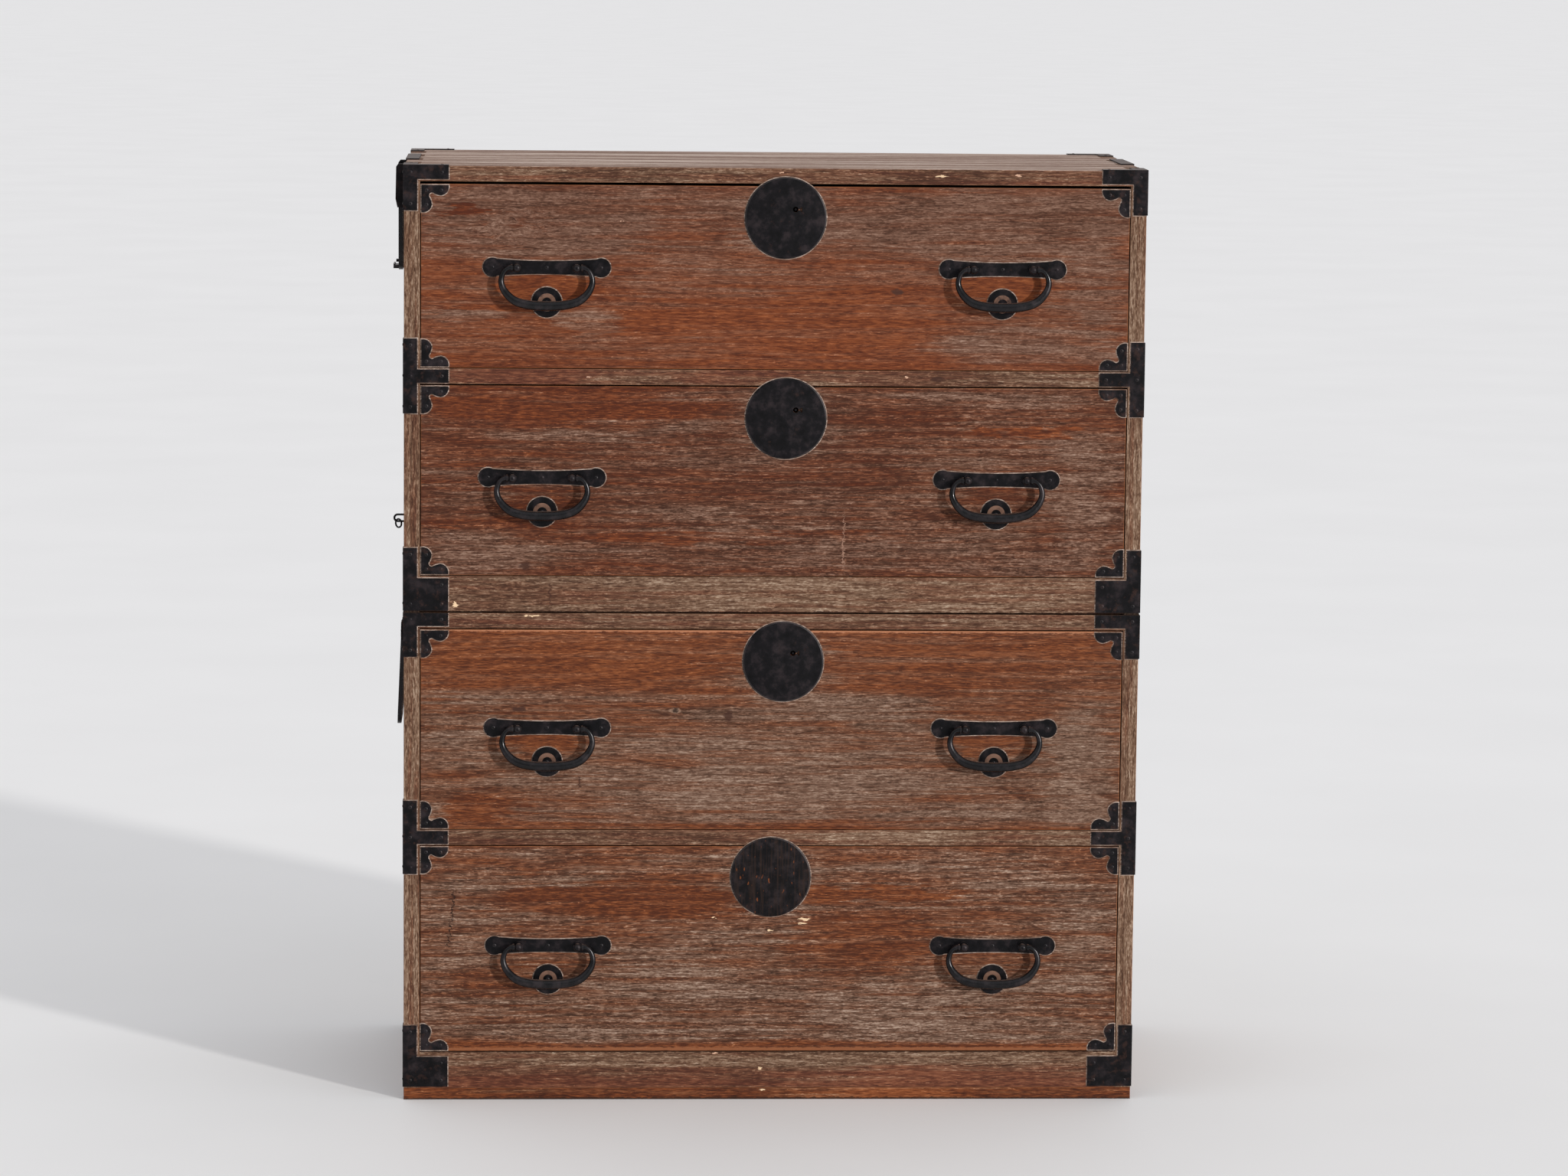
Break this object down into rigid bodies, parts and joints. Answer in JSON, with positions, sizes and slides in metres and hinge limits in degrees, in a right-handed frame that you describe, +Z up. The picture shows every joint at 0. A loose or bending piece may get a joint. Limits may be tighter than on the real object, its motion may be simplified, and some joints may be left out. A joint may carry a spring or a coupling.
{
  "type": "clothing chest",
  "caption": "Tall wooden clothing chest of two stacked cases with full-width drawers, black iron corner fittings, round lock plates and drop handles.",
  "frame": {"origin": "on the floor, under the middle of the chest, on the underside of the plinth's middle runner", "axes": "+Z up, drawer fronts face -Y, +X to the right seen from the front"},
  "size_m": [0.9454, 0.4649, 1.1633],
  "materials": {
    "drawer_front_wood": "old dry red-brown lacquer, worn grey along the grain",
    "case_wood": "old dry red-brown lacquer, worn grey along the grain",
    "top_wood": "faded pink-brown boards, worn",
    "drawer_box_wood": "bare light wood, aged",
    "back_wood": "bare aged boards",
    "plinth_wood": "orange-brown worn wood",
    "corner_iron": "blackened iron, satin, a little rust",
    "handle_iron": "blackened forged iron, polished by hands",
    "lock_iron": "blackened iron plate, satin"
  },
  "bodies": {
    "lower_case": {"lower_left_side": "case_wood", "lower_right_side": "case_wood", "lower_top_board": "top_wood", "lower_shelf": "case_wood", "lower_floor_board": "case_wood", "lower_back_planks": "back_wood", "lower_base_rails": "case_wood", "lower_case_irons": "corner_iron", "lower_pole_brackets": "corner_iron", "plinth": "plinth_wood"},
    "upper_case": {"upper_left_side": "case_wood", "upper_right_side": "case_wood", "upper_top_board": "top_wood", "upper_shelf": "case_wood", "upper_floor_board": "case_wood", "upper_back_planks": "back_wood", "upper_base_rails": "case_wood", "upper_case_irons": "corner_iron", "upper_pole_brackets": "corner_iron", "side_staple": "handle_iron"},
    "drawer_1": {"drawer_1_front": "drawer_front_wood", "drawer_1_box": "drawer_box_wood", "drawer_1_bottom": "drawer_box_wood", "drawer_1_corner_irons": "corner_iron", "drawer_1_handle_mounts": "handle_iron", "drawer_1_lock": "lock_iron"},
    "drawer_1_left_bail": {"drawer_1_left_bail": "handle_iron"},
    "drawer_1_right_bail": {"drawer_1_right_bail": "handle_iron"},
    "drawer_1_lock_bolt": {"drawer_1_lock_bolt": "lock_iron"},
    "drawer_2": {"drawer_2_front": "drawer_front_wood", "drawer_2_box": "drawer_box_wood", "drawer_2_bottom": "drawer_box_wood", "drawer_2_corner_irons": "corner_iron", "drawer_2_handle_mounts": "handle_iron", "drawer_2_lock": "lock_iron"},
    "drawer_2_left_bail": {"drawer_2_left_bail": "handle_iron"},
    "drawer_2_right_bail": {"drawer_2_right_bail": "handle_iron"},
    "drawer_2_lock_bolt": {"drawer_2_lock_bolt": "lock_iron"},
    "drawer_3": {"drawer_3_front": "drawer_front_wood", "drawer_3_box": "drawer_box_wood", "drawer_3_bottom": "drawer_box_wood", "drawer_3_corner_irons": "corner_iron", "drawer_3_handle_mounts": "handle_iron", "drawer_3_lock": "lock_iron"},
    "drawer_3_left_bail": {"drawer_3_left_bail": "handle_iron"},
    "drawer_3_right_bail": {"drawer_3_right_bail": "handle_iron"},
    "drawer_3_lock_bolt": {"drawer_3_lock_bolt": "lock_iron"},
    "drawer_4": {"drawer_4_front": "drawer_front_wood", "drawer_4_box": "drawer_box_wood", "drawer_4_bottom": "drawer_box_wood", "drawer_4_corner_irons": "corner_iron", "drawer_4_handle_mounts": "handle_iron", "drawer_4_lock": "lock_iron"},
    "drawer_4_left_bail": {"drawer_4_left_bail": "handle_iron"},
    "drawer_4_right_bail": {"drawer_4_right_bail": "handle_iron"},
    "upper_left_pole_handle": {"upper_left_pole_handle": "handle_iron"},
    "upper_right_pole_handle": {"upper_right_pole_handle": "handle_iron"},
    "lower_left_pole_handle": {"lower_left_pole_handle": "handle_iron"},
    "lower_right_pole_handle": {"lower_right_pole_handle": "handle_iron"},
    "side_ring": {"side_ring": "handle_iron"}
  },
  "joints": [
    {"name": "upper_case_lift", "type": "slide", "parent": "lower_case", "child": "upper_case", "axis": [0, 0, 1], "range_m": [0, 0.12]},
    {"name": "drawer_1_slide", "type": "slide", "parent": "upper_case", "child": "drawer_1", "axis": [0, -1, 0], "range_m": [0, 0.34]},
    {"name": "drawer_1_left_bail_swing", "type": "hinge", "parent": "drawer_1", "child": "drawer_1_left_bail", "pos_m": [-0.28023, -0.233, 1.03826], "axis": [-1, 0, 0], "range_deg": [-8, 170]},
    {"name": "drawer_1_right_bail_swing", "type": "hinge", "parent": "drawer_1", "child": "drawer_1_right_bail", "pos_m": [0.2785, -0.233, 1.03938], "axis": [-1, 0, 0], "range_deg": [-8, 170]},
    {"name": "drawer_1_lock_bolt_slide", "type": "slide", "parent": "drawer_1", "child": "drawer_1_lock_bolt", "axis": [0, 0, 1], "range_m": [0, 0.0075]},
    {"name": "drawer_2_slide", "type": "slide", "parent": "upper_case", "child": "drawer_2", "axis": [0, -1, 0], "range_m": [0, 0.34]},
    {"name": "drawer_2_left_bail_swing", "type": "hinge", "parent": "drawer_2", "child": "drawer_2_left_bail", "pos_m": [-0.28501, -0.233, 0.78043], "axis": [-1, 0, 0], "range_deg": [-8, 170]},
    {"name": "drawer_2_right_bail_swing", "type": "hinge", "parent": "drawer_2", "child": "drawer_2_right_bail", "pos_m": [0.2746, -0.233, 0.77973], "axis": [-1, 0, 0], "range_deg": [-8, 170]},
    {"name": "drawer_2_lock_bolt_slide", "type": "slide", "parent": "drawer_2", "child": "drawer_2_lock_bolt", "axis": [0, 0, 1], "range_m": [0, 0.0075]},
    {"name": "drawer_3_slide", "type": "slide", "parent": "lower_case", "child": "drawer_3", "axis": [0, -1, 0], "range_m": [0, 0.34]},
    {"name": "drawer_3_left_bail_swing", "type": "hinge", "parent": "drawer_3", "child": "drawer_3_left_bail", "pos_m": [-0.27763, -0.233, 0.4695], "axis": [-1, 0, 0], "range_deg": [-8, 170]},
    {"name": "drawer_3_right_bail_swing", "type": "hinge", "parent": "drawer_3", "child": "drawer_3_right_bail", "pos_m": [0.27633, -0.233, 0.46975], "axis": [-1, 0, 0], "range_deg": [-8, 170]},
    {"name": "drawer_3_lock_bolt_slide", "type": "slide", "parent": "drawer_3", "child": "drawer_3_lock_bolt", "axis": [0, 0, 1], "range_m": [0, 0.0075]},
    {"name": "drawer_4_slide", "type": "slide", "parent": "lower_case", "child": "drawer_4", "axis": [0, -1, 0], "range_m": [0, 0.34]},
    {"name": "drawer_4_left_bail_swing", "type": "hinge", "parent": "drawer_4", "child": "drawer_4_left_bail", "pos_m": [-0.27546, -0.233, 0.19569], "axis": [-1, 0, 0], "range_deg": [-8, 170]},
    {"name": "drawer_4_right_bail_swing", "type": "hinge", "parent": "drawer_4", "child": "drawer_4_right_bail", "pos_m": [0.2785, -0.233, 0.19543], "axis": [-1, 0, 0], "range_deg": [-8, 170]},
    {"name": "upper_left_pole_handle_swing", "type": "hinge", "parent": "upper_case", "child": "upper_left_pole_handle", "pos_m": [-0.4627, 0, 1.1283], "axis": [0, 1, 0], "range_deg": [0, 180]},
    {"name": "upper_right_pole_handle_swing", "type": "hinge", "parent": "upper_case", "child": "upper_right_pole_handle", "pos_m": [0.4627, 0, 1.1283], "axis": [0, -1, 0], "range_deg": [0, 180]},
    {"name": "lower_left_pole_handle_swing", "type": "hinge", "parent": "lower_case", "child": "lower_left_pole_handle", "pos_m": [-0.4594, 0, 0.568], "axis": [0, 1, 0], "range_deg": [0, 170]},
    {"name": "lower_right_pole_handle_swing", "type": "hinge", "parent": "lower_case", "child": "lower_right_pole_handle", "pos_m": [0.4594, 0, 0.568], "axis": [0, -1, 0], "range_deg": [0, 170]},
    {"name": "side_ring_swing", "type": "hinge", "parent": "upper_case", "child": "side_ring", "pos_m": [-0.4635, -0.12, 0.7138], "axis": [1, 0, 0], "range_deg": [-25, 25]}
  ]
}
